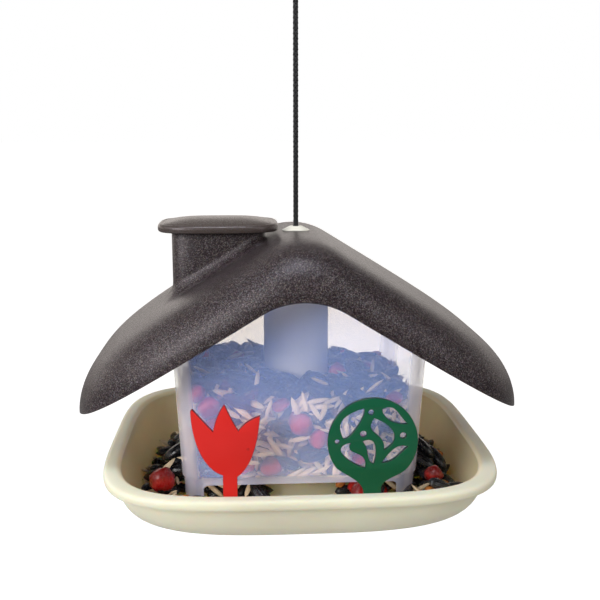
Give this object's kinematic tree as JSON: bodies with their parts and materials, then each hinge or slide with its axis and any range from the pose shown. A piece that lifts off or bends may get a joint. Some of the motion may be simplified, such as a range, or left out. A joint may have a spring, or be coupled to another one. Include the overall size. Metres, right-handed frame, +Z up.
{
  "type": "hanging bird feeder",
  "caption": "Hanging seed feeder: open tray, clear hopper on a centre column, gabled roof with filling chimney, plug-in ornaments, rope.",
  "frame": {"origin": "top of the rope's centre line in the hanging loop, straight above the middle of the tray", "axes": "+Z up along the rope, -Y towards the front hem and the ornaments, +X to the right seen from the front"},
  "size_m": [0.24, 0.203, 0.3173],
  "materials": {
    "ivory_plastic": "smooth injection-moulded ivory, semi-gloss",
    "frosted_plastic": "milky translucent, glossy face",
    "roof_plastic": "fine sparkling grain, satin",
    "lid_plastic": "smooth satin",
    "red_plastic": "flat moulded, satin",
    "green_plastic": "flat moulded, satin",
    "black_rope": "braided synthetic rope",
    "dark_seed": "striped hull",
    "pale_grain": "ribbed husk",
    "red_berry": "wrinkled glossy skin",
    "orange_corn": "waxy broken kernels"
  },
  "bodies": {
    "tray_body": {"tray": "ivory_plastic", "centre_column": "ivory_plastic", "rope_inner": "black_rope", "stop_knot": "black_rope", "rope_free": "black_rope", "hang_knot": "black_rope"},
    "hopper_body": {"hopper": "frosted_plastic"},
    "roof_body": {"roof": "roof_plastic", "rope_grommet": "ivory_plastic"},
    "lid_body": {"chimney_lid": "lid_plastic"},
    "tulip_body": {"tulip_ornament": "red_plastic"},
    "tree_body": {"tree_ornament": "green_plastic"}
  },
  "joints": [
    {"name": "hopper_lift", "type": "slide", "parent": "tray_body", "child": "hopper_body", "axis": [0, 0, 1], "range_m": [0, 0.06]},
    {"name": "roof_lift", "type": "slide", "parent": "hopper_body", "child": "roof_body", "axis": [0, 0, 1], "range_m": [0, 0.06]},
    {"name": "lid_lift", "type": "slide", "parent": "roof_body", "child": "lid_body", "axis": [0, 0, 1], "range_m": [0, 0.04]},
    {"name": "tulip_pull", "type": "slide", "parent": "tray_body", "child": "tulip_body", "axis": [0, 0, 1], "range_m": [0, 0.012]},
    {"name": "tree_pull", "type": "slide", "parent": "tray_body", "child": "tree_body", "axis": [0, 0, 1], "range_m": [0, 0.012]}
  ]
}
